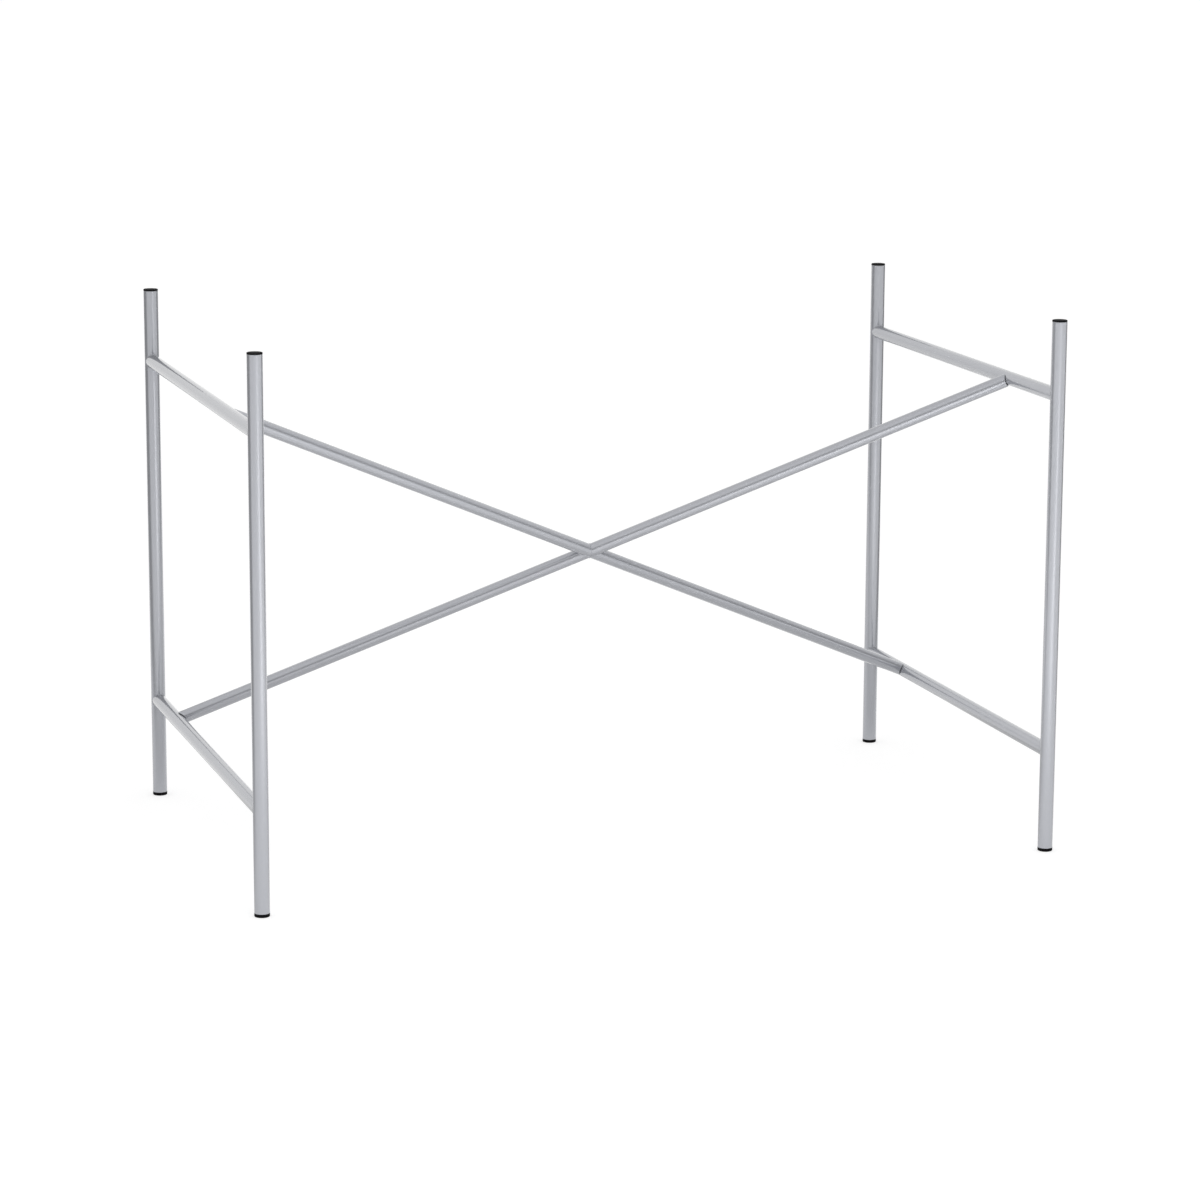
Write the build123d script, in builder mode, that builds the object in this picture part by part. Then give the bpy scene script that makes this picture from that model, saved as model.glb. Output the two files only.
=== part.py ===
"""Table frame: two welded side frames of round tube, joined by a slanted cross of two braces.

Millimetres, +Z up, +X along the long side, the front towards -Y, origin on the floor under the middle.
"""

import os

from build123d import *

# Frame over its tubes, floor to top of caps
FRAME_LENGTH = 1100
FRAME_DEPTH = 660
FRAME_HEIGHT = 720

# Round tubes
POST_DIAMETER = 20
POST_WALL = 1.5
RAIL_DIAMETER = 19
RAIL_WALL = 1.2
BRACE_DIAMETER = 18
BRACE_WALL = 1.2

# Rails' axes, the upper from the top and the lower from the floor
UPPER_RAIL_DROP = 100
LOWER_RAIL_HEIGHT = 138

# Where the braces meet the rails, from the middle of the depth
UPPER_JOINT_FORWARD = 165
LOWER_JOINT_BACK = 192

# Gaps at the coped tube ends
WELD_GAP = 0.1
BRACE_END_GAP = 1

# Push-in caps and feet
CAP_RIM = 2
CAP_CHAMFER = 0.6
FOOT_RIM = 4.5
FOOT_CHAMFER = 1
PLUG_DEPTH = 16
PLUG_RIB = 2.5
PLUG_FIT = 0.05

# Screw joints at the brace ends
SCREW_DIAMETER = 6
SCREW_LENGTH = 22
SCREW_HEAD_DIAMETER = 9
SCREW_HEAD_HEIGHT = 6
SCREW_HOLE_CLEARANCE = 0.25
SCREW_SEAT_GAP = 0.05
KEY_SIZE = 5
KEY_DEPTH = 3
INSERT_LENGTH = 24
INSERT_FIT = 0.05
INSERT_SEAT_GAP = 0.1
THREAD_FIT = 0.05
COVER_FIT = 0.05

POST_X = (FRAME_LENGTH - POST_DIAMETER) / 2
POST_Y = (FRAME_DEPTH - POST_DIAMETER) / 2
POST_BORE = POST_DIAMETER - 2 * POST_WALL
RAIL_BORE = RAIL_DIAMETER - 2 * RAIL_WALL
BRACE_BORE = BRACE_DIAMETER - 2 * BRACE_WALL
STEM_REACH = ((POST_BORE / 2 - PLUG_FIT) ** 2 - (PLUG_RIB / 2) ** 2) ** 0.5
ACCESS_RADIUS = SCREW_HEAD_DIAMETER / 2 + SCREW_HOLE_CLEARANCE

SIDES = {"left": -1, "right": 1}
ENDS = {"front": -1, "rear": 1}
LEVELS = {
    "upper": (-UPPER_JOINT_FORWARD, FRAME_HEIGHT - UPPER_RAIL_DROP),
    "lower": (LOWER_JOINT_BACK, LOWER_RAIL_HEIGHT),
}
OPPOSITE = {"left": "right", "right": "left", "upper": "lower", "lower": "upper"}
ALONG_DEPTH = Vector(0, 1, 0)


def save(piece, label):
    """Name a finished piece and write it as a node of its own."""
    piece.label = label
    export_step(piece, f"parts/{label}.step")


def joint_point(side, level):
    """Where the axis of a brace crosses the axis of a rail."""
    y, z = LEVELS[level]
    return Vector(SIDES[side] * POST_X, y, z)


def brace_way(side, level):
    """Direction of the brace that leaves this joint for the far one."""
    start = joint_point(side, level)
    end = joint_point(OPPOSITE[side], OPPOSITE[level])
    return (end - start).normalized()


def make_post(label, x, y):
    """Upright tube between the rims of its foot and its cap."""
    with BuildPart() as post:
        with BuildSketch(Plane(origin=(x, y, FOOT_RIM))):
            Circle(POST_DIAMETER / 2)
            Circle(POST_BORE / 2, mode=Mode.SUBTRACT)
        extrude(amount=FRAME_HEIGHT - FOOT_RIM - CAP_RIM)
    save(post.part, label)


def make_plug(label, x, y, tube_end, outward, rim, edge):
    """Push-in plug for a post's end: a rim as wide as the tube and a stem of crossed ribs inside it.

    outward is 1 at the top of the post and -1 at the bottom.
    """
    seat = Plane(origin=(x, y, tube_end), z_dir=(0, 0, outward))
    with BuildPart() as plug:
        with BuildSketch(seat):
            Circle(POST_DIAMETER / 2)
        extrude(amount=rim)
        chamfer(plug.faces().sort_by(Axis((x, y, 0), seat.z_dir))[-1].edges(), length=edge)
        with BuildSketch(seat):
            Rectangle(2 * STEM_REACH, PLUG_RIB)
            Rectangle(PLUG_RIB, 2 * STEM_REACH)
        extrude(amount=-PLUG_DEPTH)
    save(plug.part, label)


def make_rail(label, side, level):
    """Tube from the front post to the rear one, coped at both ends and drilled for the brace's screw."""
    joint = joint_point(side, level)
    start = Vector(joint.X, -POST_Y, joint.Z)
    screw_plane = Plane(joint, z_dir=brace_way(side, level))
    with BuildPart() as rail:
        with BuildSketch(Plane(start, z_dir=ALONG_DEPTH)):
            Circle(RAIL_DIAMETER / 2)
            Circle(RAIL_BORE / 2, mode=Mode.SUBTRACT)
        extrude(amount=2 * POST_Y)
        for y in (-POST_Y, POST_Y):
            with BuildSketch(Plane(origin=(joint.X, y, joint.Z))):
                Circle(POST_DIAMETER / 2 + WELD_GAP)
            extrude(amount=RAIL_DIAMETER, both=True, mode=Mode.SUBTRACT)
        with BuildSketch(screw_plane):
            Circle(SCREW_DIAMETER / 2 + SCREW_HOLE_CLEARANCE)
        extrude(amount=RAIL_DIAMETER, mode=Mode.SUBTRACT)
        with BuildSketch(screw_plane):
            Circle(ACCESS_RADIUS)
        extrude(amount=-RAIL_DIAMETER, mode=Mode.SUBTRACT)
    save(rail.part, label)


def make_brace(label, start, end, copes):
    """Tube from start to end, cut back round the tubes that it meets.

    Each cope is a point on the other tube's axis, the way of that axis and the radius of the cut.
    """
    run = end - start
    with BuildPart() as brace:
        with BuildSketch(Plane(start, z_dir=run)):
            Circle(BRACE_DIAMETER / 2)
            Circle(BRACE_BORE / 2, mode=Mode.SUBTRACT)
        extrude(amount=run.length)
        for centre, way, radius in copes:
            with BuildSketch(Plane(centre, z_dir=way)):
                Circle(radius)
            extrude(amount=2 * BRACE_DIAMETER, both=True, mode=Mode.SUBTRACT)
    save(brace.part, label)


def make_insert(label, side, level):
    """Threaded plug fixed in a brace's end, its face coped to bear on the rail."""
    joint = joint_point(side, level)
    with BuildPart() as insert:
        with BuildSketch(Plane(joint, z_dir=brace_way(side, level))):
            Circle(BRACE_BORE / 2 - INSERT_FIT)
            Circle(SCREW_DIAMETER / 2 + THREAD_FIT, mode=Mode.SUBTRACT)
        extrude(amount=RAIL_DIAMETER / 2 + INSERT_LENGTH)
        with BuildSketch(Plane(joint, z_dir=ALONG_DEPTH)):
            Circle(RAIL_DIAMETER / 2 + INSERT_SEAT_GAP)
        extrude(amount=2 * BRACE_DIAMETER, both=True, mode=Mode.SUBTRACT)
    save(insert.part, label)


def make_screw(side, level):
    """Cap screw with its head inside the rail, the underside formed to the rail's bore."""
    joint = joint_point(side, level)
    head_top = Plane(joint, z_dir=brace_way(side, level)).offset(RAIL_BORE / 2 - SCREW_HEAD_HEIGHT)
    with BuildPart() as screw:
        with BuildSketch(head_top):
            Circle(SCREW_HEAD_DIAMETER / 2)
        extrude(amount=SCREW_HEAD_HEIGHT + RAIL_WALL)
        with BuildSketch(Plane(joint, z_dir=ALONG_DEPTH)):
            Circle(RAIL_BORE / 2 - SCREW_SEAT_GAP)
        extrude(amount=2 * SCREW_HEAD_DIAMETER, both=True, mode=Mode.INTERSECT)
        with BuildSketch(head_top):
            Circle(SCREW_DIAMETER / 2)
        extrude(amount=SCREW_HEAD_HEIGHT + SCREW_LENGTH)
        with BuildSketch(head_top):
            RegularPolygon(KEY_SIZE / 2, 6, major_radius=False)
        extrude(amount=KEY_DEPTH, mode=Mode.SUBTRACT)
    return screw.part


def make_cover(side, level):
    """Press-in cover for the hole through which the screw is driven, flush with the rail's wall."""
    joint = joint_point(side, level)
    with BuildPart() as cover:
        with BuildSketch(Plane(joint, z_dir=brace_way(side, level))):
            Circle(ACCESS_RADIUS - COVER_FIT)
        extrude(amount=-RAIL_DIAMETER)
        with BuildSketch(Plane(joint, z_dir=ALONG_DEPTH)):
            Circle(RAIL_DIAMETER / 2)
            Circle(RAIL_BORE / 2, mode=Mode.SUBTRACT)
        extrude(amount=RAIL_DIAMETER, both=True, mode=Mode.INTERSECT)
    return cover.part


os.makedirs("parts", exist_ok=True)

# Posts with their caps and feet
for end, end_sign in ENDS.items():
    for side, side_sign in SIDES.items():
        corner = f"{end}_{side}"
        x, y = side_sign * POST_X, end_sign * POST_Y
        make_post(f"post_{corner}", x, y)
        make_plug(f"cap_{corner}", x, y, FRAME_HEIGHT - CAP_RIM, 1, CAP_RIM, CAP_CHAMFER)
        make_plug(f"foot_{corner}", x, y, FOOT_RIM, -1, FOOT_RIM, FOOT_CHAMFER)

# Rails, and what holds the brace ends to them
for side in SIDES:
    for level in LEVELS:
        make_rail(f"rail_{level}_{side}", side, level)
        make_insert(f"insert_{level}_{side}", side, level)

# Crossed braces: one in a single length, the other in two halves welded to it
crossing = (joint_point("left", "upper") + joint_point("right", "lower")) / 2
long_way = brace_way("left", "upper")
rail_cut = RAIL_DIAMETER / 2 + BRACE_END_GAP
long_ends = [joint_point("left", "upper"), joint_point("right", "lower")]
make_brace("brace_long", *long_ends, [(point, ALONG_DEPTH, rail_cut) for point in long_ends])
for half, side in (("upper", "right"), ("lower", "left")):
    half_end = joint_point(side, half)
    half_copes = [
        (half_end, ALONG_DEPTH, rail_cut),
        (crossing, long_way, BRACE_DIAMETER / 2 + WELD_GAP),
    ]
    make_brace(f"brace_half_{half}", crossing, half_end, half_copes)

# The four screws are alike and share one node, and so do the covers over them
with BuildPart() as brace_screws:
    add([make_screw(side, level) for side in SIDES for level in LEVELS])
save(brace_screws.part, "brace_screws")
with BuildPart() as hole_covers:
    add([make_cover(side, level) for side in SIDES for level in LEVELS])
save(hole_covers.part, "hole_covers")
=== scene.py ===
"""Looks of the table frame: tubes, weld beads, caps, feet and fixings, with a plain white studio.

Metres, +Z up, +X along the long side, the front towards -Y, origin on the floor under the middle.
"""

import logging
import math
from dataclasses import dataclass
from enum import Enum
from typing import Optional

import bmesh
import bpy
from mathutils import Matrix, Vector


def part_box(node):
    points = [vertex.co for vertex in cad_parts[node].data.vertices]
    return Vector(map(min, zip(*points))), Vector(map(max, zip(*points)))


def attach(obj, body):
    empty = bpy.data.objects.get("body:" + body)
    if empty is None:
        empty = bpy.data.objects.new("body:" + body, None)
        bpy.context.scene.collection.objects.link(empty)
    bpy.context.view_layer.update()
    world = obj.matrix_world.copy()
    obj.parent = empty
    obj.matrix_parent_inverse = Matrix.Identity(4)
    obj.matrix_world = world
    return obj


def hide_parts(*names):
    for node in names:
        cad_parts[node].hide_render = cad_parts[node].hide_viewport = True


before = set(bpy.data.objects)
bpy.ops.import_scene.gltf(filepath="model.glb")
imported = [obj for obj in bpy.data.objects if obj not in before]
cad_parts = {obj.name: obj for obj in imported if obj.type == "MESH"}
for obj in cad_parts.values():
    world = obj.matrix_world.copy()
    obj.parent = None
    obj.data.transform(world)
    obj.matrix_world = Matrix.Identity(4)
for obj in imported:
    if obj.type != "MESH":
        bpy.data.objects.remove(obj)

LOG = logging.getLogger("table_frame")
UP = Vector((0.0, 0.0, 1.0))
ALONG_DEPTH = Vector((0.0, 1.0, 0.0))
STEEP = 0.9


class Side(Enum):
    """The two welded side frames, by the sign of x."""

    LEFT = -1
    RIGHT = 1

    @property
    def label(self) -> str:
        """Lower-case word used in the names of the pieces."""
        return self.name.lower()


class End(Enum):
    """Front and rear of the frame, by the sign of y."""

    FRONT = -1
    REAR = 1

    @property
    def label(self) -> str:
        """Lower-case word used in the names of the pieces."""
        return self.name.lower()


class Level(Enum):
    """The two heights at which rails run."""

    UPPER = "upper"
    LOWER = "lower"


class PlugKind(Enum):
    """A plug sits on top of its post as a cap or under it as a foot."""

    CAP = 1
    FOOT = -1


def add_node(tree: bpy.types.NodeTree, kind: str, **settings: object) -> bpy.types.Node:
    """Add a node and set its plain properties.

    Args:
        tree: The tree that takes the node.
        kind: The node's type name.
        **settings: Properties of the node and their values.

    Returns:
        The new node.
    """
    node = tree.nodes.new(kind)
    for name, value in settings.items():
        setattr(node, name, value)
    return node


def feed(tree: bpy.types.NodeTree, socket: bpy.types.NodeSocket, value: object) -> None:
    """Link a socket to another one, or set it to a constant.

    Args:
        tree: The tree that holds the sockets.
        socket: The input to feed.
        value: An output socket, or a constant.
    """
    if isinstance(value, bpy.types.NodeSocket):
        tree.links.new(value, socket)
    else:
        socket.default_value = value


def maths(tree: bpy.types.NodeTree, operation: str, *values: object) -> bpy.types.NodeSocket:
    """Add a maths node.

    Args:
        tree: The tree that takes the node.
        operation: The node's operation.
        *values: Output sockets or numbers for its inputs.

    Returns:
        The result's socket.
    """
    node = add_node(tree, "ShaderNodeMath", operation=operation)
    for socket, value in zip(node.inputs, values):
        feed(tree, socket, value)
    return node.outputs[0]


def fade(
    tree: bpy.types.NodeTree, value: bpy.types.NodeSocket, start: float, end: float, low: float = 0.0,
) -> bpy.types.NodeSocket:
    """Add a smooth step from a low level to 1.

    Args:
        tree: The tree that takes the node.
        value: The value that the step follows.
        start: The value at which the step leaves the low level.
        end: The value at which it reaches 1.
        low: The low level.

    Returns:
        The step's socket.
    """
    step = add_node(tree, "ShaderNodeMapRange", interpolation_type="SMOOTHSTEP")
    tree.links.new(value, step.inputs["Value"])
    for name, level in (("From Min", start), ("From Max", end), ("To Min", low)):
        step.inputs[name].default_value = level
    return step.outputs["Result"]


class SurfaceGroups:
    """Shader node groups that several finishes share."""

    GRAIN_DETAIL = 2.0
    WEAR_DETAIL = 4.0
    NOISE_MEAN = 0.5

    def __init__(self) -> None:
        self.grain = self._grain()
        self.wear = self._wear()

    @staticmethod
    def _grain() -> bpy.types.NodeTree:
        """Fine relief of a skin: a bump normal from noise of a given size.

        Returns:
            The node group.
        """
        tree = bpy.data.node_groups.new("fine_grain", "ShaderNodeTree")
        ports = tree.interface
        for name in ("Grains per metre", "Depth"):
            ports.new_socket(name, in_out="INPUT", socket_type="NodeSocketFloat")
        ports.new_socket("Normal", in_out="OUTPUT", socket_type="NodeSocketVector")
        source = add_node(tree, "NodeGroupInput")
        place = add_node(tree, "ShaderNodeTexCoord")
        noise = add_node(tree, "ShaderNodeTexNoise")
        bump = add_node(tree, "ShaderNodeBump")
        out = add_node(tree, "NodeGroupOutput")
        tree.links.new(place.outputs["Object"], noise.inputs["Vector"])
        tree.links.new(source.outputs["Grains per metre"], noise.inputs["Scale"])
        noise.inputs["Detail"].default_value = SurfaceGroups.GRAIN_DETAIL
        tree.links.new(noise.outputs["Fac"], bump.inputs["Height"])
        tree.links.new(source.outputs["Depth"], bump.inputs["Distance"])
        tree.links.new(bump.outputs["Normal"], out.inputs["Normal"])
        return tree

    @staticmethod
    def _wear() -> bpy.types.NodeTree:
        """Slow unevenness of a skin: a colour and a roughness that drift a little from place to place.

        Returns:
            The node group.
        """
        tree = bpy.data.node_groups.new("soft_unevenness", "ShaderNodeTree")
        ports = tree.interface
        ports.new_socket("Color", in_out="INPUT", socket_type="NodeSocketColor")
        for name in ("Roughness", "Colour drift", "Roughness drift", "Patches per metre"):
            ports.new_socket(name, in_out="INPUT", socket_type="NodeSocketFloat")
        ports.new_socket("Color", in_out="OUTPUT", socket_type="NodeSocketColor")
        ports.new_socket("Roughness", in_out="OUTPUT", socket_type="NodeSocketFloat")
        source = add_node(tree, "NodeGroupInput")
        place = add_node(tree, "ShaderNodeTexCoord")
        noise = add_node(tree, "ShaderNodeTexNoise")
        out = add_node(tree, "NodeGroupOutput")
        tree.links.new(place.outputs["Object"], noise.inputs["Vector"])
        tree.links.new(source.outputs["Patches per metre"], noise.inputs["Scale"])
        noise.inputs["Detail"].default_value = SurfaceGroups.WEAR_DETAIL
        swing = maths(tree, "SUBTRACT", noise.outputs["Fac"], SurfaceGroups.NOISE_MEAN)
        shade = maths(tree, "MULTIPLY_ADD", swing, source.outputs["Colour drift"], 1.0)
        scale = add_node(tree, "ShaderNodeVectorMath", operation="SCALE")
        tree.links.new(source.outputs["Color"], scale.inputs[0])
        tree.links.new(shade, scale.inputs["Scale"])
        gloss = maths(
            tree, "MULTIPLY_ADD", swing, source.outputs["Roughness drift"], source.outputs["Roughness"])
        tree.links.new(scale.outputs["Vector"], out.inputs["Color"])
        tree.links.new(gloss, out.inputs["Roughness"])
        return tree


@dataclass(frozen=True)
class Finish:
    """A finish: its colour, its gloss and the relief of its skin."""

    name: str
    slot: str
    colour: tuple[float, float, float]
    metallic: float
    roughness: float
    edge_tint: float = 1.0
    specular: float = 0.5
    coat: float = 0.0
    coat_roughness: float = 0.03
    colour_drift: float = 0.04
    roughness_drift: float = 0.06
    patches_per_metre: float = 30.0
    grains_per_metre: float = 900.0
    grain_depth: float = 0.00001

    def build(self, groups: SurfaceGroups) -> bpy.types.Material:
        """Make the finish's material.

        Args:
            groups: The shared node groups.

        Returns:
            The material.
        """
        material = bpy.data.materials.new(self.name)
        material.use_nodes = True
        tree = material.node_tree
        shader = tree.nodes["Principled BSDF"]
        wear = add_node(tree, "ShaderNodeGroup", node_tree=groups.wear)
        wear.inputs["Color"].default_value = (*self.colour, 1.0)
        wear.inputs["Roughness"].default_value = self.roughness
        wear.inputs["Colour drift"].default_value = self.colour_drift
        wear.inputs["Roughness drift"].default_value = self.roughness_drift
        wear.inputs["Patches per metre"].default_value = self.patches_per_metre
        grain = add_node(tree, "ShaderNodeGroup", node_tree=groups.grain)
        grain.inputs["Grains per metre"].default_value = self.grains_per_metre
        grain.inputs["Depth"].default_value = self.grain_depth
        tree.links.new(wear.outputs["Color"], shader.inputs["Base Color"])
        tree.links.new(wear.outputs["Roughness"], shader.inputs["Roughness"])
        tree.links.new(grain.outputs["Normal"], shader.inputs["Normal"])
        shader.inputs["Metallic"].default_value = self.metallic
        shader.inputs["Specular Tint"].default_value = (self.edge_tint, self.edge_tint, self.edge_tint, 1.0)
        shader.inputs["Specular IOR Level"].default_value = self.specular
        shader.inputs["Coat Weight"].default_value = self.coat
        shader.inputs["Coat Roughness"].default_value = self.coat_roughness
        LOG.info("finish %s", self.name)
        return material


SILVER_PAINT = Finish(
    "satin_silver_paint", "silver_paint", (0.475, 0.486, 0.522), metallic=0.55, roughness=0.22, edge_tint=0.7,
    specular=0.2, coat=1.0, coat_roughness=0.02, colour_drift=0.05, grain_depth=0.000004)
BLACK_PLASTIC = Finish(
    "black_moulded_plastic", "black_plastic", (0.005, 0.005, 0.0055), metallic=0.0, roughness=0.7,
    specular=0.08, grains_per_metre=2500.0, grain_depth=0.00003)
# Dark steel: the screws' own colour; on the inserts it is painted shade, so the gap round each brace end reads
# dark.
DARK_STEEL_AND_GAP_SHADE = Finish(
    "blackened_screw_steel", "dark_steel", (0.05, 0.05, 0.055), metallic=1.0, roughness=0.4)


@dataclass(frozen=True)
class Header:
    """A round tube to which the end of another tube is cut."""

    point: Vector
    way: Vector
    radius: float

    def reach(self, point: Vector, way: Vector, far: bool) -> float:
        """Distance from a point, along a line, to this tube's surface.

        Args:
            point: A point on the line.
            way: Unit direction of the line.
            far: True for the crossing further along the line, False for the nearer one.

        Returns:
            The signed distance along the line.
        """
        across = point - self.point
        across = across - across.dot(self.way) * self.way
        slope = way - way.dot(self.way) * self.way
        a, half_b, c = slope.dot(slope), across.dot(slope), across.dot(across) - self.radius ** 2
        root = math.sqrt(max(half_b ** 2 - a * c, 0.0))
        return (-half_b + root) / a if far else (-half_b - root) / a


@dataclass(frozen=True)
class Tube:
    """A straight round tube, its ends cut square or coped to other tubes."""

    node: str
    start: Vector
    end: Vector
    radius: float
    wall: float
    start_header: Optional[Header] = None
    end_header: Optional[Header] = None
    lip: float = 0.0003
    shoulder: float = 0.0007
    lip_steps: int = 4
    segments: int = 96

    def build(self) -> bpy.types.Object:
        """Make the tube's mesh, with a small round lip at each square end.

        Returns:
            The object, at the origin, with its place in the mesh.
        """
        way = (self.end - self.start).normalized()
        length = (self.end - self.start).length
        side = way.cross(UP if abs(way.z) < STEEP else ALONG_DEPTH).normalized()
        rise = way.cross(side)
        inner = [(self.radius - self.wall, 0.0)]
        coped = [(self.radius, 0.0)]
        start_rings = inner + (coped if self.start_header else self._lip()[::-1])
        end_rings = (coped if self.end_header else self._lip()) + inner
        points = []
        for at_end, rings in ((False, start_rings), (True, end_rings)):
            header = self.end_header if at_end else self.start_header
            for radius, inset in rings:
                for index in range(self.segments):
                    angle = math.tau * index / self.segments
                    foot = self.start + radius * (math.cos(angle) * side + math.sin(angle) * rise)
                    reach = header.reach(foot, way, not at_end) if header else (length if at_end else 0.0)
                    points.append(foot + (reach + (-inset if at_end else inset)) * way)
        count = len(start_rings) + len(end_rings)
        faces = []
        for ring in range(count):
            following = (ring + 1) % count
            for index in range(self.segments):
                nearby = (index + 1) % self.segments
                faces.append((
                    ring * self.segments + index, ring * self.segments + nearby,
                    following * self.segments + nearby, following * self.segments + index))
        return mesh_object(f"tube_{self.node}", points, faces)

    def _lip(self) -> list[tuple[float, float]]:
        """Radius and inset of each ring round the outer edge of a square end.

        The first ring, on the straight side, keeps the lip's shading from running along the tube.

        Returns:
            The rings, from the tube's side to its end face.
        """
        rings = [(self.radius, self.lip + self.shoulder)]
        for step in range(self.lip_steps + 1):
            turn = math.pi / 2 * step / self.lip_steps
            rings.append((self.radius - self.lip * (1 - math.cos(turn)), self.lip * (1 - math.sin(turn))))
        return rings


def mesh_object(name: str, points: list[Vector], faces: list[tuple[int, ...]]) -> bpy.types.Object:
    """Make an object from points and faces, with outward normals and smooth shading between sharp edges.

    Args:
        name: Name of the object and its mesh.
        points: The vertices.
        faces: The faces, as indices of points.

    Returns:
        The object, linked to the scene.
    """
    mesh = bpy.data.meshes.new(name)
    mesh.from_pydata(points, [], faces)
    made = bmesh.new()
    made.from_mesh(mesh)
    bmesh.ops.recalc_face_normals(made, faces=made.faces)
    made.to_mesh(mesh)
    made.free()
    piece = bpy.data.objects.new(name, mesh)
    bpy.context.scene.collection.objects.link(piece)
    smooth(mesh)
    return piece


def smooth(mesh: bpy.types.Mesh, angle: float = math.radians(32)) -> None:
    """Shade a mesh smooth, but keep edges sharper than an angle.

    Args:
        mesh: The mesh.
        angle: The least angle of a sharp edge.
    """
    mesh.shade_smooth()
    mesh.set_sharp_from_angle(angle=angle)


def dress(piece: bpy.types.Object, finish: Finish, materials: dict[str, bpy.types.Material]) -> None:
    """Give a piece its material and the body it rides on.

    Args:
        piece: The finished piece.
        finish: The finish it wears.
        materials: The materials by finish name.
    """
    piece.data.materials.clear()
    piece.data.materials.append(materials[finish.name])
    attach(piece, "root")
    LOG.info("piece %s, %d faces", piece.name, len(piece.data.polygons))


class Layout:
    """Sizes and places taken from the frame's own nodes."""

    def __init__(self) -> None:
        low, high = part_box("post_front_left")
        self.post_radius = (high[0] - low[0]) / 2
        self.post_x = -(high[0] + low[0]) / 2
        self.post_y = -(high[1] + low[1]) / 2
        self.tube_foot = low[2]
        self.tube_top = high[2]
        self.rail_height: dict[Level, float] = {}
        for level in Level:
            low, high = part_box(f"rail_{level.value}_left")
            self.rail_height[level] = (low[2] + high[2]) / 2
            self.rail_radius = (high[2] - low[2]) / 2

    def post(self, side: Side, end: End) -> Vector:
        """Point on a post's axis at floor height.

        Args:
            side: Left or right.
            end: Front or rear.

        Returns:
            The point.
        """
        return Vector((side.value * self.post_x, end.value * self.post_y, 0.0))


@dataclass(frozen=True)
class CrossSizes:
    """Sizes of the crossed braces and their joints."""

    radius: float = 0.009
    wall: float = 0.0012
    upper_joint_forward: float = 0.165
    lower_joint_back: float = 0.192
    rail_gap: float = 0.001
    weld_gap: float = 0.0001
    screw_hole: float = 0.00325
    access_hole: float = 0.00475
    hole_segments: int = 48


class Cross:
    """The crossed braces between the side frames."""

    def __init__(self, layout: Layout, sizes: CrossSizes) -> None:
        self.layout = layout
        self.sizes = sizes
        self.crossing = (self.joint(Side.LEFT, Level.UPPER) + self.joint(Side.RIGHT, Level.LOWER)) / 2
        self.long_way = self.way(Side.LEFT, Level.UPPER)

    def joint(self, side: Side, level: Level) -> Vector:
        """Where the axis of a brace crosses that of a rail.

        Args:
            side: Left or right.
            level: Upper or lower rail.

        Returns:
            The point.
        """
        sizes = self.sizes
        y = -sizes.upper_joint_forward if level is Level.UPPER else sizes.lower_joint_back
        return Vector((side.value * self.layout.post_x, y, self.layout.rail_height[level]))

    def way(self, side: Side, level: Level) -> Vector:
        """Direction of the brace that leaves a joint for the far one.

        Args:
            side: Left or right.
            level: Upper or lower rail.

        Returns:
            The unit direction.
        """
        far_side = Side.RIGHT if side is Side.LEFT else Side.LEFT
        far_level = Level.LOWER if level is Level.UPPER else Level.UPPER
        return (self.joint(far_side, far_level) - self.joint(side, level)).normalized()

    def rail_header(self, side: Side, level: Level) -> Header:
        """The rail that a brace's end is cut to.

        Args:
            side: Left or right.
            level: Upper or lower rail.

        Returns:
            The rail as a header, wider by the gap.
        """
        return Header(self.joint(side, level), ALONG_DEPTH, self.layout.rail_radius + self.sizes.rail_gap)

    def build(self, materials: dict[str, bpy.types.Material]) -> None:
        """Make the three braces.

        Args:
            materials: The materials by finish name.
        """
        sizes = self.sizes
        tubes = [Tube(
            "brace_long", self.joint(Side.LEFT, Level.UPPER), self.joint(Side.RIGHT, Level.LOWER),
            sizes.radius, sizes.wall,
            self.rail_header(Side.LEFT, Level.UPPER), self.rail_header(Side.RIGHT, Level.LOWER))]
        middle = Header(self.crossing, self.long_way, sizes.radius + sizes.weld_gap)
        for side, level in ((Side.RIGHT, Level.UPPER), (Side.LEFT, Level.LOWER)):
            tubes.append(Tube(
                f"brace_half_{level.value}", self.crossing, self.joint(side, level),
                sizes.radius, sizes.wall, middle, self.rail_header(side, level)))
        for tube in tubes:
            piece = tube.build()
            dress(piece, SILVER_PAINT, materials)
            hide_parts(tube.node)


@dataclass(frozen=True)
class SideSizes:
    """Walls and gaps of the side frames' tubes."""

    post_wall: float = 0.0015
    rail_wall: float = 0.0012
    weld_gap: float = 0.0001


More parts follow.
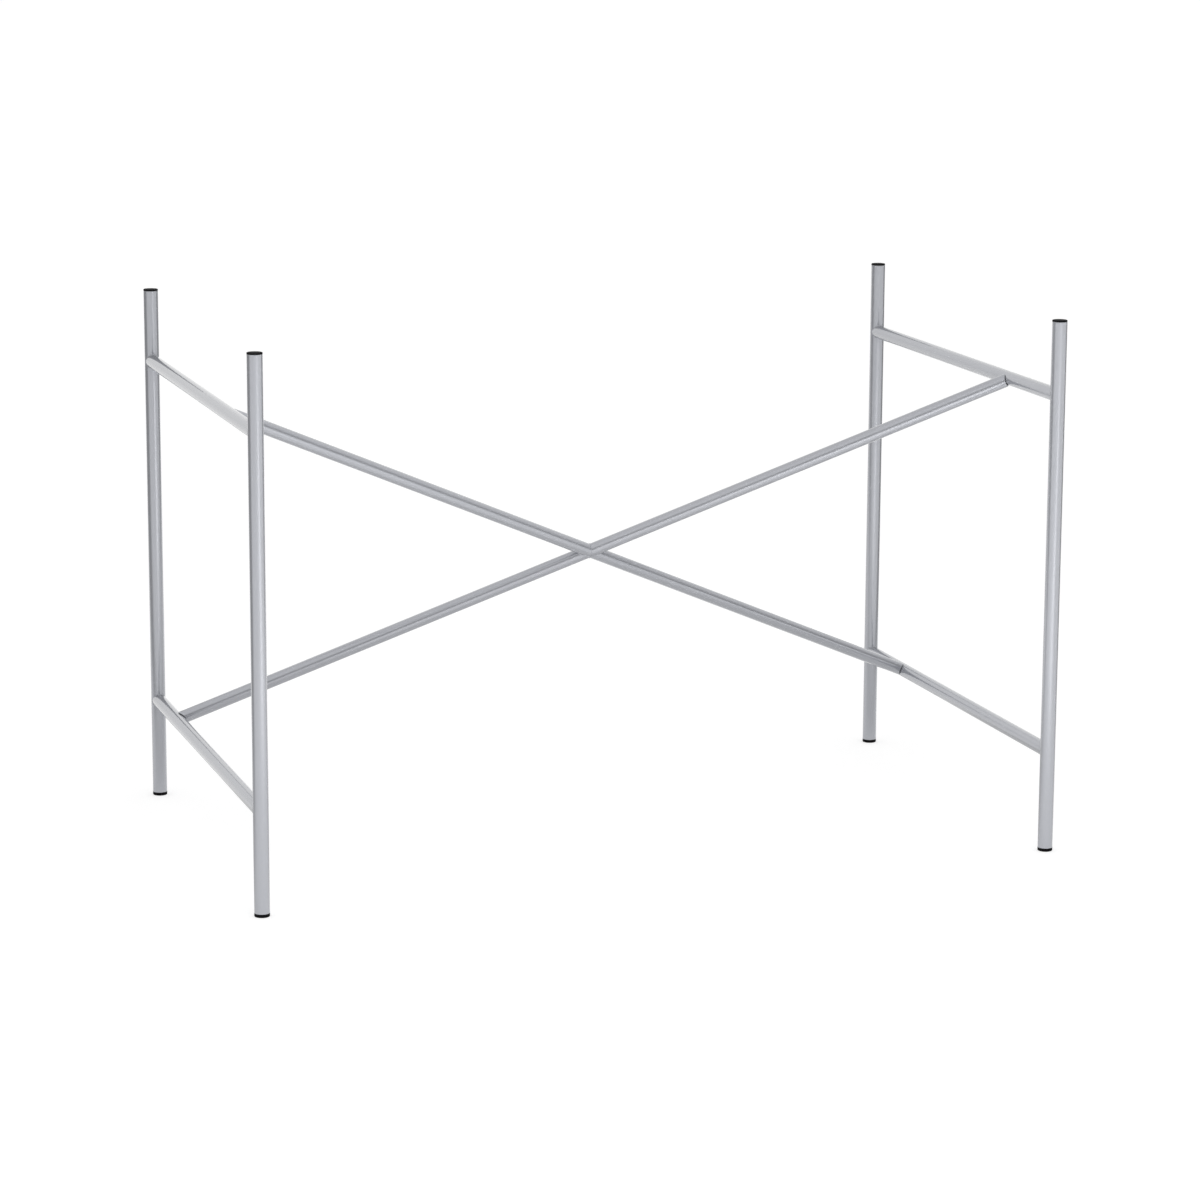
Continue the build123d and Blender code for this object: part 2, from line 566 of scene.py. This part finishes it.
class SideFrame:
    """Two posts and two rails of one side."""

    def __init__(self, side: Side, layout: Layout, cross: Cross, sizes: SideSizes) -> None:
        self.side = side
        self.layout = layout
        self.cross = cross
        self.sizes = sizes

    def build(self, materials: dict[str, bpy.types.Material]) -> None:
        """Make the posts and the drilled rails.

        Args:
            materials: The materials by finish name.
        """
        layout, sizes = self.layout, self.sizes
        for end in End:
            axis = layout.post(self.side, end)
            tube = Tube(
                f"post_{end.label}_{self.side.label}",
                axis + layout.tube_foot * UP, axis + layout.tube_top * UP,
                layout.post_radius, sizes.post_wall)
            piece = tube.build()
            dress(piece, SILVER_PAINT, materials)
            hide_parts(tube.node)
        for level in Level:
            rise = layout.rail_height[level] * UP
            front, rear = layout.post(self.side, End.FRONT) + rise, layout.post(self.side, End.REAR) + rise
            tube = Tube(
                f"rail_{level.value}_{self.side.label}", front, rear, layout.rail_radius, sizes.rail_wall,
                Header(front, UP, layout.post_radius + sizes.weld_gap),
                Header(rear, UP, layout.post_radius + sizes.weld_gap))
            piece = tube.build()
            self._drill(piece, level)
            dress(piece, SILVER_PAINT, materials)
            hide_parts(tube.node)

    def _drill(self, piece: bpy.types.Object, level: Level) -> None:
        """Cut the screw hole in the inner wall and the access hole in the outer wall.

        Args:
            piece: The rail.
            level: Upper or lower rail.
        """
        joint, way = self.cross.joint(self.side, level), self.cross.way(self.side, level)
        depth = 2 * self.layout.rail_radius
        sizes = self.cross.sizes
        for radius, sign in ((sizes.screw_hole, 1), (sizes.access_hole, -1)):
            made = bmesh.new()
            turn = (sign * way).to_track_quat("Z", "Y").to_matrix().to_4x4()
            bmesh.ops.create_cone(
                made, cap_ends=True, segments=sizes.hole_segments, radius1=radius, radius2=radius, depth=depth,
                matrix=Matrix.Translation(joint + sign * way * depth / 2) @ turn)
            mesh = bpy.data.meshes.new("drill")
            made.to_mesh(mesh)
            made.free()
            drill = bpy.data.objects.new("drill", mesh)
            bpy.context.scene.collection.objects.link(drill)
            combine(piece, drill, "DIFFERENCE")


def bake(piece: bpy.types.Object) -> None:
    """Turn an object's modifiers into plain mesh.

    Args:
        piece: The object.
    """
    graph = bpy.context.evaluated_depsgraph_get()
    mesh = bpy.data.meshes.new_from_object(piece.evaluated_get(graph))
    mesh.name = piece.name
    piece.modifiers.clear()
    piece.data = mesh


def combine(piece: bpy.types.Object, tool: bpy.types.Object, operation: str) -> None:
    """Cut an object with another, or join the two into one shell.

    Args:
        piece: The object that stays.
        tool: The object that cuts or joins it, which is used up.
        operation: The boolean's operation.
    """
    change = piece.modifiers.new("combine", "BOOLEAN")
    change.operation = operation
    change.solver = "EXACT"
    change.object = tool
    bake(piece)
    bpy.data.objects.remove(tool)
    smooth(piece.data)


@dataclass(frozen=True)
class BeadSizes:
    """Size and ripple of a weld bead."""

    radius: float = 0.0009
    ripples: int = 26
    ripple_depth: float = 0.06
    flank_thinning: float = 0.5
    flank_power: float = 4.0
    steps: int = 208
    profile_steps: int = 12


class WeldBeads:
    """Weld beads that follow the saddle between one tube's end and another tube."""

    def __init__(self, layout: Layout, cross: Cross, sizes: BeadSizes) -> None:
        self.layout = layout
        self.cross = cross
        self.sizes = sizes
        self.tree = self._tree()

    def _tree(self) -> bpy.types.NodeTree:
        """Geometry nodes: a bead along the saddle curve, placed at each point with its turn.

        Returns:
            The node tree.
        """
        tree = bpy.data.node_groups.new("saddle_bead", "GeometryNodeTree")
        ports = tree.interface
        ports.new_socket("Geometry", in_out="INPUT", socket_type="NodeSocketGeometry")
        for name in (
            "Branch radius", "Header radius", "Angle", "Bead radius", "Ripples", "Ripple depth",
            "Flank thinning", "Flank power",
        ):
            ports.new_socket(name, in_out="INPUT", socket_type="NodeSocketFloat")
        for name in ("Steps", "Profile steps"):
            ports.new_socket(name, in_out="INPUT", socket_type="NodeSocketInt")
        ports.new_socket("Material", in_out="INPUT", socket_type="NodeSocketMaterial")
        ports.new_socket("Geometry", in_out="OUTPUT", socket_type="NodeSocketGeometry")
        source = add_node(tree, "NodeGroupInput")
        inputs = source.outputs
        circle = add_node(tree, "GeometryNodeCurvePrimitiveCircle")
        tree.links.new(inputs["Steps"], circle.inputs["Resolution"])
        index = add_node(tree, "GeometryNodeInputIndex").outputs[0]
        angle = maths(tree, "MULTIPLY", maths(tree, "DIVIDE", index, inputs["Steps"]), math.tau)
        across = maths(tree, "MULTIPLY", inputs["Branch radius"], maths(tree, "COSINE", angle))
        aside = maths(tree, "MULTIPLY", inputs["Branch radius"], maths(tree, "SINE", angle))
        depth = maths(tree, "SQRT", maths(
            tree, "SUBTRACT",
            maths(tree, "POWER", inputs["Header radius"], 2.0), maths(tree, "POWER", aside, 2.0)))
        lean = maths(tree, "MULTIPLY_ADD", across, maths(tree, "COSINE", inputs["Angle"]), depth)
        reach = maths(tree, "DIVIDE", lean, maths(tree, "SINE", inputs["Angle"]))
        place = add_node(tree, "ShaderNodeCombineXYZ")
        for socket, value in zip(place.inputs, (reach, across, aside)):
            tree.links.new(value, socket)
        saddle = add_node(tree, "GeometryNodeSetPosition")
        tree.links.new(circle.outputs["Curve"], saddle.inputs["Geometry"])
        tree.links.new(place.outputs[0], saddle.inputs["Position"])
        wave = maths(tree, "SINE", maths(tree, "MULTIPLY", angle, inputs["Ripples"]))
        ripple = maths(tree, "MULTIPLY_ADD", wave, inputs["Ripple depth"], 1.0)
        flank = maths(tree, "POWER", maths(tree, "SINE", angle), inputs["Flank power"])
        thin = maths(tree, "MULTIPLY_ADD", flank, maths(tree, "MULTIPLY", inputs["Flank thinning"], -1.0), 1.0)
        swell = maths(tree, "MULTIPLY", ripple, thin)
        profile = add_node(tree, "GeometryNodeCurvePrimitiveCircle")
        tree.links.new(inputs["Profile steps"], profile.inputs["Resolution"])
        tree.links.new(inputs["Bead radius"], profile.inputs["Radius"])
        sweep = add_node(tree, "GeometryNodeCurveToMesh")
        tree.links.new(saddle.outputs[0], sweep.inputs["Curve"])
        tree.links.new(profile.outputs["Curve"], sweep.inputs["Profile Curve"])
        tree.links.new(swell, sweep.inputs["Scale"])
        turn = add_node(tree, "GeometryNodeInputNamedAttribute", data_type="QUATERNION")
        turn.inputs["Name"].default_value = "turn"
        spread = add_node(tree, "GeometryNodeInstanceOnPoints")
        tree.links.new(inputs["Geometry"], spread.inputs["Points"])
        tree.links.new(sweep.outputs["Mesh"], spread.inputs["Instance"])
        tree.links.new(next(out for out in turn.outputs if out.type == "ROTATION"), spread.inputs["Rotation"])
        real = add_node(tree, "GeometryNodeRealizeInstances")
        tree.links.new(spread.outputs["Instances"], real.inputs["Geometry"])
        soft = add_node(tree, "GeometryNodeSetShadeSmooth")
        tree.links.new(real.outputs["Geometry"], soft.inputs["Geometry"])
        coat = add_node(tree, "GeometryNodeSetMaterial")
        tree.links.new(soft.outputs["Geometry"], coat.inputs["Geometry"])
        tree.links.new(inputs["Material"], coat.inputs["Material"])
        out = add_node(tree, "NodeGroupOutput")
        tree.links.new(coat.outputs["Geometry"], out.inputs["Geometry"])
        return tree

    def _run(
        self, name: str, spots: list[tuple[Vector, Vector, Vector]], branch: float, header: float, angle: float,
        materials: dict[str, bpy.types.Material],
    ) -> None:
        """Make the beads of one kind of joint.

        Args:
            name: Name of the piece.
            spots: For each bead, where the axes cross, the branch's direction and the header's.
            branch: Radius of the tube that ends there.
            header: Radius of the tube it meets.
            angle: Angle between their axes.
            materials: The materials by finish name.
        """
        mesh = bpy.data.meshes.new(name)
        mesh.from_pydata([spot for spot, _, _ in spots], [], [])
        turns = []
        for _, branch_way, header_way in spots:
            level = (header_way - header_way.dot(branch_way) * branch_way).normalized()
            aside = branch_way.cross(level)
            turns.extend(Matrix((branch_way, level, aside)).transposed().to_quaternion())
        mesh.attributes.new("turn", "QUATERNION", "POINT").data.foreach_set("value", turns)
        piece = bpy.data.objects.new(name, mesh)
        bpy.context.scene.collection.objects.link(piece)
        sizes = self.sizes
        values = {
            "Branch radius": branch, "Header radius": header, "Angle": angle, "Bead radius": sizes.radius,
            "Ripples": float(sizes.ripples), "Ripple depth": sizes.ripple_depth,
            "Flank thinning": sizes.flank_thinning, "Flank power": sizes.flank_power, "Steps": sizes.steps,
            "Profile steps": sizes.profile_steps, "Material": materials[SILVER_PAINT.name],
        }
        nodes = piece.modifiers.new("beads", "NODES")
        nodes.node_group = self.tree
        for item in self.tree.interface.items_tree:
            if item.in_out == "INPUT" and item.name in values:
                nodes[item.identifier] = values[item.name]
        bake(piece)
        dress(piece, SILVER_PAINT, materials)

    def build(self, materials: dict[str, bpy.types.Material]) -> None:
        """Make the beads at the rails' ends and at the crossing.

        Args:
            materials: The materials by finish name.
        """
        layout, cross = self.layout, self.cross
        spots = []
        for side in Side:
            for level in Level:
                for end in End:
                    spot = layout.post(side, end) + layout.rail_height[level] * UP
                    spots.append((spot, -end.value * ALONG_DEPTH, UP))
        self._run("beads_rail_ends", spots, layout.rail_radius, layout.post_radius, math.pi / 2, materials)
        halves = [-cross.way(Side.RIGHT, Level.UPPER), -cross.way(Side.LEFT, Level.LOWER)]
        angle = halves[0].angle(cross.long_way)
        spots = [(cross.crossing, halves[0], cross.long_way), (cross.crossing, halves[1], -cross.long_way)]
        self._run("beads_crossing", spots, cross.sizes.radius, cross.sizes.radius, angle, materials)


@dataclass(frozen=True)
class PlugSizes:
    """Rim, edge and stem of a push-in plug."""

    edge: float
    stem_depth: float = 0.016
    stem_rib: float = 0.0025
    stem_fit: float = 0.00005
    stem_root: float = 0.0005
    segments: int = 96
    edge_steps: int = 6


class Plug:
    """A moulded plug on a post's end: a rounded rim and a stem of crossed ribs."""

    def __init__(
        self, kind: PlugKind, side: Side, end: End, layout: Layout, bore: float, sizes: PlugSizes,
    ) -> None:
        self.kind = kind
        self.node = f"{kind.name.lower()}_{end.label}_{side.label}"
        self.axis = layout.post(side, end)
        self.radius = layout.post_radius
        self.bore = bore
        self.sizes = sizes
        low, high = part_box(self.node)
        self.seat = layout.tube_top if kind is PlugKind.CAP else layout.tube_foot
        self.tip = high[2] if kind is PlugKind.CAP else low[2]

    def build(self, materials: dict[str, bpy.types.Material]) -> None:
        """Make the plug.

        Args:
            materials: The materials by finish name.
        """
        sizes, outward = self.sizes, self.kind.value
        profile = [(self.radius, self.seat)]
        for step in range(sizes.edge_steps + 1):
            turn = math.pi / 2 * step / sizes.edge_steps
            profile.append((
                self.radius - sizes.edge * (1 - math.cos(turn)),
                self.tip - outward * sizes.edge * (1 - math.sin(turn))))
        points, faces = [], []
        for radius, height in profile:
            for index in range(sizes.segments):
                angle = math.tau * index / sizes.segments
                points.append(self.axis + Vector((radius * math.cos(angle), radius * math.sin(angle), height)))
        for ring in range(len(profile) - 1):
            for index in range(sizes.segments):
                nearby = (index + 1) % sizes.segments
                faces.append((
                    ring * sizes.segments + index, ring * sizes.segments + nearby,
                    (ring + 1) * sizes.segments + nearby, (ring + 1) * sizes.segments + index))
        last = (len(profile) - 1) * sizes.segments
        faces.append(tuple(range(sizes.segments)))
        faces.append(tuple(range(last, last + sizes.segments)))
        piece = mesh_object(f"plug_{self.node}", points, faces)
        combine(piece, self._stem(), "UNION")
        dress(piece, BLACK_PLASTIC, materials)
        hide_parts(self.node)

    def _stem(self) -> bpy.types.Object:
        """Make the stem of crossed ribs, rooted a little way inside the rim.

        Returns:
            The stem.
        """
        sizes, outward = self.sizes, self.kind.value
        rib = sizes.stem_rib / 2
        half = math.sqrt((self.bore - sizes.stem_fit) ** 2 - rib ** 2)
        outline = [(half, -rib), (half, rib), (rib, rib), (rib, half), (-rib, half), (-rib, rib),
                   (-half, rib), (-half, -rib), (-rib, -rib), (-rib, -half), (rib, -half), (rib, -rib)]
        corners = len(outline)
        heights = (self.seat + outward * sizes.stem_root, self.seat - outward * sizes.stem_depth)
        points = [self.axis + Vector((x, y, height)) for height in heights for x, y in outline]
        faces = [tuple(range(corners)), tuple(range(corners, 2 * corners))]
        for index in range(corners):
            nearby = (index + 1) % corners
            faces.append((index, nearby, corners + nearby, corners + index))
        return mesh_object("stem", points, faces)


class Fixings:
    """Screws, their covers and threaded inserts, which keep their own solids."""

    def build(self, materials: dict[str, bpy.types.Material]) -> None:
        """Give the fixings their finishes.

        Args:
            materials: The materials by finish name.
        """
        for name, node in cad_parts.items():
            finish = None
            # Painted shade in part: the inserts wear the dark screw steel so that the gap at each brace end
            # reads dark.
            if name.startswith("insert_") or name == "brace_screws":
                finish = DARK_STEEL_AND_GAP_SHADE
            elif name == "hole_covers":
                finish = SILVER_PAINT
            if finish:
                for holder in node.material_slots:
                    holder.material = materials[finish.name]
                LOG.info("node %s wears %s", name, finish.name)


@dataclass(frozen=True)
class Lamp:
    """A soft lamp: its place, how far it is tilted up from facing the floor, its turn, size and power."""

    name: str
    at: tuple[float, float, float]
    width: float
    length: float
    watts: float
    tilt: float = 0.0
    turn: float = 0.0
    spread: float = math.pi


@dataclass(frozen=True)
class StudioSettings:
    """Camera, floor and light of the picture.

    The painted values are the floor's glow and grey as the frame reflects them, a painted reflection: the
    bright part is the middle of the floor, and the darker part is at its sides; under the frame it is dimmed as
    painted shade.
    Walls are given as heights, from 0 at the horizon to 1 overhead, each with its brightness.
    """

    camera_at: tuple[float, float, float] = (-1.603, -5.000, 1.407)
    yaw: float = math.radians(17.89)
    pitch: float = math.radians(11.77)
    roll: float = math.radians(0.26)
    lens: float = 117.642
    sensor: float = 36.0
    view_depth: float = 500.0
    floor_size: float = 120.0
    floor_white: float = 0.58
    floor_grey: float = 0.55
    # Painted reflection: the floor's glow as reflections see it, bright in the middle, dark at the sides behind
    # the frame, dimmed under the frame as painted shade.
    mirrored_paper: float = 0.8
    mirrored_beyond: float = 0.1
    mirrored_under: float = 0.62
    under_edge: tuple[float, float] = (0.1, 0.42)
    mirrored_grey: float = 0.25
    paper_half_width: float = 0.8
    painted_bright_spread: float = 0.45
    painted_bright_front: float = -0.4
    painted_bright_fade: float = 0.6
    front_walls: tuple[tuple[float, float], ...] = (
        (0.0, 0.3), (0.2, 0.3), (0.45, 0.95), (0.7, 1.1), (1.0, 0.9))
    rear_walls: tuple[tuple[float, float], ...] = ((0.0, 1.2), (0.4, 1.2), (0.9, 0.9), (1.0, 0.9))
    rear_wall_edge: tuple[float, float] = (0.1, 0.7)
    lamps: tuple[Lamp, ...] = (
        Lamp("floor_strip", (0.62, -3.3, 1.4), 0.7, 4.2, watts=44.0, turn=0.2, spread=math.radians(60)),
        Lamp("low_front", (-0.1, -1.7, 0.35), 1.6, 0.3, watts=11.0, tilt=math.pi / 2),
    )


class Studio:
    """White floor, soft light and the camera."""

    def __init__(self, settings: StudioSettings) -> None:
        self.settings = settings

    def build(self) -> None:
        """Make the whole studio."""
        self._camera()
        self._floor()
        self._world()
        self._lamps()
        view = bpy.context.scene.view_settings
        view.view_transform = "Standard"

    def _camera(self) -> None:
        """Set the camera where the photo was taken from."""
        s = self.settings
        forward = Vector((
            math.sin(s.yaw) * math.cos(s.pitch), math.cos(s.yaw) * math.cos(s.pitch), -math.sin(s.pitch)))
        right = Vector((math.cos(s.yaw), -math.sin(s.yaw), 0.0))
        up = right.cross(forward)
        tilted_right = math.cos(s.roll) * right + math.sin(s.roll) * up
        tilted_up = -math.sin(s.roll) * right + math.cos(s.roll) * up
        lens = bpy.data.cameras.new("camera")
        lens.sensor_width = s.sensor
        lens.lens = s.lens
        lens.clip_end = s.view_depth
        camera = bpy.data.objects.new("camera", lens)
        turn = Matrix((tilted_right, tilted_up, -forward)).transposed().to_4x4()
        camera.matrix_world = Matrix.Translation(s.camera_at) @ turn
        bpy.context.scene.collection.objects.link(camera)
        bpy.context.scene.camera = camera

    def _floor(self) -> None:
        """Lay a wide floor, white to the camera, that keeps a soft shadow.

        Reflected rays see it glow in a painted pattern instead, a painted reflection: darker to both sides
        behind the frame, and dimmed under the frame as painted shade.
        """
        s = self.settings
        half = s.floor_size / 2
        corners = [Vector((x, y, 0.0)) for x, y in ((-half, -half), (half, -half), (half, half), (-half, half))]
        floor = mesh_object("studio_floor", corners, [(0, 1, 2, 3)])
        material = bpy.data.materials.new("white_floor")
        material.use_nodes = True
        tree = material.node_tree
        tree.nodes.clear()
        place = add_node(tree, "ShaderNodeTexCoord")
        split = add_node(tree, "ShaderNodeSeparateXYZ")
        tree.links.new(place.outputs["Object"], split.inputs[0])
        # Painted reflection: a glow that only reflected rays see, dark to both sides behind the frame and
        # dimmed under it as painted shade.
        aside = maths(
            tree, "MULTIPLY_ADD", split.outputs["Y"], -s.painted_bright_spread,
            maths(tree, "ABSOLUTE", split.outputs["X"]))
        painted_dark_sides = maths(
            tree, "MULTIPLY", fade(tree, aside, s.paper_half_width, s.paper_half_width + s.painted_bright_fade),
            fade(tree, split.outputs["Y"], s.painted_bright_front, s.painted_bright_front + s.painted_bright_fade))
        clear = fade(tree, maths(tree, "ABSOLUTE", split.outputs["Y"]), *s.under_edge, s.mirrored_under)
        painted_reflection_glow = maths(
            tree, "MULTIPLY", clear,
            maths(tree, "MULTIPLY_ADD", painted_dark_sides, s.mirrored_beyond - s.mirrored_paper, s.mirrored_paper))
        seen = add_node(tree, "ShaderNodeLightPath")
        mirrored = maths(tree, "MAXIMUM", seen.outputs["Is Glossy Ray"], seen.outputs["Is Transmission Ray"])
        glow = add_node(tree, "ShaderNodeEmission")
        feed(tree, glow.inputs["Strength"], maths(
            tree, "MULTIPLY_ADD", mirrored, painted_reflection_glow,
            maths(tree, "MULTIPLY", seen.outputs["Is Camera Ray"], s.floor_white)))
        paper = add_node(tree, "ShaderNodeBsdfDiffuse")
        # Painted reflection: reflections see the floor's grey darker than other rays do.
        shade = maths(tree, "MULTIPLY_ADD", mirrored, s.mirrored_grey - s.floor_grey, s.floor_grey)
        tint = add_node(tree, "ShaderNodeCombineColor")
        for socket in tint.inputs:
            tree.links.new(shade, socket)
        tree.links.new(tint.outputs[0], paper.inputs["Color"])
        both = add_node(tree, "ShaderNodeAddShader")
        tree.links.new(glow.outputs[0], both.inputs[0])
        tree.links.new(paper.outputs[0], both.inputs[1])
        out = add_node(tree, "ShaderNodeOutputMaterial")
        tree.links.new(both.outputs[0], out.inputs["Surface"])
        floor.data.materials.append(material)

    def _world(self) -> None:
        """Light from pale walls: the front one is dark near the floor, the rear one bright all the way up."""
        s = self.settings
        world = bpy.data.worlds.new("studio_walls")
        bpy.context.scene.world = world
        world.use_nodes = True
        tree = world.node_tree
        tree.nodes.clear()
        place = add_node(tree, "ShaderNodeTexCoord")
        split = add_node(tree, "ShaderNodeSeparateXYZ")
        tree.links.new(place.outputs["Generated"], split.inputs[0])
        behind = fade(tree, split.outputs["Y"], *s.rear_wall_edge)
        walls = [self._ramp(tree, split.outputs["Z"], stops) for stops in (s.front_walls, s.rear_walls)]
        rest = maths(tree, "SUBTRACT", 1.0, behind)
        strength = maths(tree, "MULTIPLY_ADD", walls[1], behind, maths(tree, "MULTIPLY", walls[0], rest))
        light = add_node(tree, "ShaderNodeBackground")
        tree.links.new(strength, light.inputs["Strength"])
        out = add_node(tree, "ShaderNodeOutputWorld")
        tree.links.new(light.outputs[0], out.inputs["Surface"])

    @staticmethod
    def _ramp(
        tree: bpy.types.NodeTree, rise: bpy.types.NodeSocket, stops: tuple[tuple[float, float], ...],
    ) -> bpy.types.NodeSocket:
        """Turn a height into a brightness.

        Args:
            tree: The world's tree.
            rise: The height, 0 at the horizon and 1 overhead.
            stops: Heights and the brightness at each.

        Returns:
            The brightness.
        """
        curve = add_node(tree, "ShaderNodeFloatCurve")
        tree.links.new(rise, curve.inputs["Value"])
        points = curve.mapping.curves[0].points
        curve.mapping.use_clip = False
        for index, (height, light) in enumerate(stops):
            if 0 < index < len(stops) - 1:
                points.new(height, light)
        points[0].location, points[len(points) - 1].location = stops[0], stops[-1]
        curve.mapping.update()
        return curve.outputs["Value"]

    def _lamps(self) -> None:
        """Hang a strip lamp over the floor in front and stand a low one before the frame."""
        for lamp in self.settings.lamps:
            light = bpy.data.lights.new(lamp.name, "AREA")
            light.shape = "RECTANGLE"
            light.size = lamp.width
            light.size_y = lamp.length
            light.spread = lamp.spread
            light.energy = lamp.watts
            holder = bpy.data.objects.new(lamp.name, light)
            holder.visible_camera = False
            holder.visible_glossy = False
            holder.location = lamp.at
            holder.rotation_euler = (lamp.tilt, 0.0, lamp.turn)
            bpy.context.scene.collection.objects.link(holder)


def main() -> None:
    """Build every piece in order."""
    logging.basicConfig(level=logging.INFO, format="%(name)s: %(message)s")
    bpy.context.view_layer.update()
    groups = SurfaceGroups()
    finishes = (SILVER_PAINT, BLACK_PLASTIC, DARK_STEEL_AND_GAP_SHADE)
    materials = {finish.name: finish.build(groups) for finish in finishes}
    layout = Layout()
    cross = Cross(layout, CrossSizes())
    side_sizes = SideSizes()
    for side in Side:
        SideFrame(side, layout, cross, side_sizes).build(materials)
    cross.build(materials)
    WeldBeads(layout, cross, BeadSizes()).build(materials)
    bore = layout.post_radius - side_sizes.post_wall
    plug_sizes = {PlugKind.CAP: PlugSizes(edge=0.0006), PlugKind.FOOT: PlugSizes(edge=0.001)}
    for kind, sizes in plug_sizes.items():
        for side in Side:
            for end in End:
                Plug(kind, side, end, layout, bore, sizes).build(materials)
    Fixings().build(materials)
    Studio(StudioSettings()).build()


if __name__ == "__main__":
    main()
